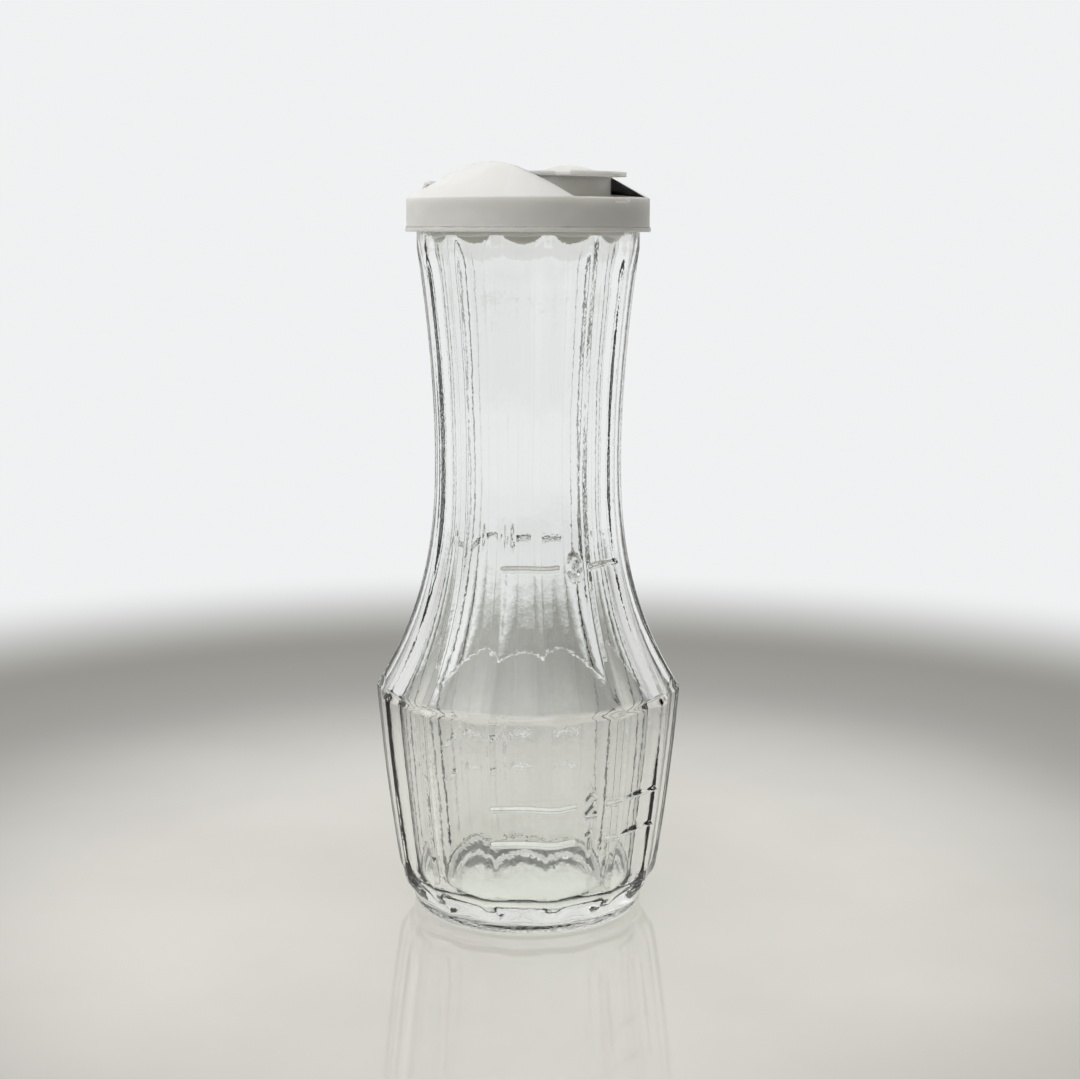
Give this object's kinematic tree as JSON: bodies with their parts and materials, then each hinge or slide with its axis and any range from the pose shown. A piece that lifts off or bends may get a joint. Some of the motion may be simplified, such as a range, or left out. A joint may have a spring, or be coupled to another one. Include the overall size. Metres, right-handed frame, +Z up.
{
  "type": "dressing cruet",
  "caption": "Fluted pressed-glass dressing bottle with raised measuring lines and a push-in plastic cap, whose hinged cover flips open over the pouring hole.",
  "frame": {"origin": "centre of the foot, on the surface that the bottle stands on", "axes": "+Z up along the bottle's axis, -Y towards the pouring side of the cap, +X to the right when the pouring side faces the viewer"},
  "size_m": [0.0786, 0.0772, 0.1897],
  "materials": {
    "clear_glass": "clear pressed soda glass, fire-polished",
    "white_cap_plastic": "white injection-moulded polypropylene, satin",
    "white_cover_plastic": "white injection-moulded polypropylene, satin"
  },
  "bodies": {
    "bottle_body": {"bottle": "clear_glass"},
    "cap_body": {"cap": "white_cap_plastic"},
    "cover_body": {"flip_cover": "white_cover_plastic"}
  },
  "joints": [
    {"name": "cap_lift", "type": "slide", "parent": "bottle_body", "child": "cap_body", "axis": [0, 0, 1], "range_m": [0, 0.03]},
    {"name": "cover_hinge", "type": "hinge", "parent": "cap_body", "child": "cover_body", "pos_m": [0, 0.0215, 0.1833], "axis": [-1, 0, 0], "range_deg": [0, 110]}
  ]
}
